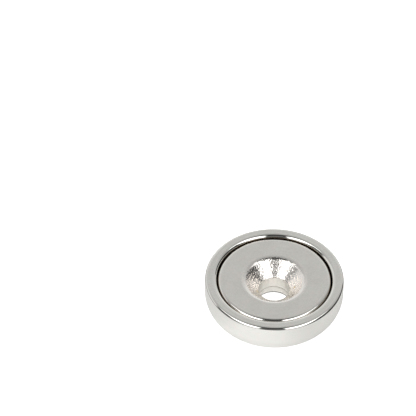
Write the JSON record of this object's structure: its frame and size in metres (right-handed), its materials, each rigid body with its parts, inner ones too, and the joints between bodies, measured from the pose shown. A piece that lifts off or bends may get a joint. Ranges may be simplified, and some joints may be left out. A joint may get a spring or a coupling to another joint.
{
  "type": "countersunk pot magnet",
  "caption": "Round pot magnet: a nickel-plated steel cup with a rounded back edge holds a ring magnet just below its rim, with a countersunk screw hole through its middle.",
  "frame": {"origin": "centre of the cup's flat back, on the axis of the screw hole", "axes": "+Z along the screw hole and out of the holding face; the part is round, so X and Y are any two directions across it"},
  "size_m": [0.025, 0.025, 0.0076],
  "materials": {
    "plated_steel": "bright nickel plating, satin on the flats and glossy on the rounded edges",
    "plated_magnet": "nickel plating, satin on the face and speckled in the countersink"
  },
  "bodies": {
    "root": {"steel_cup": "plated_steel", "ring_magnet": "plated_magnet"}
  },
  "joints": []
}
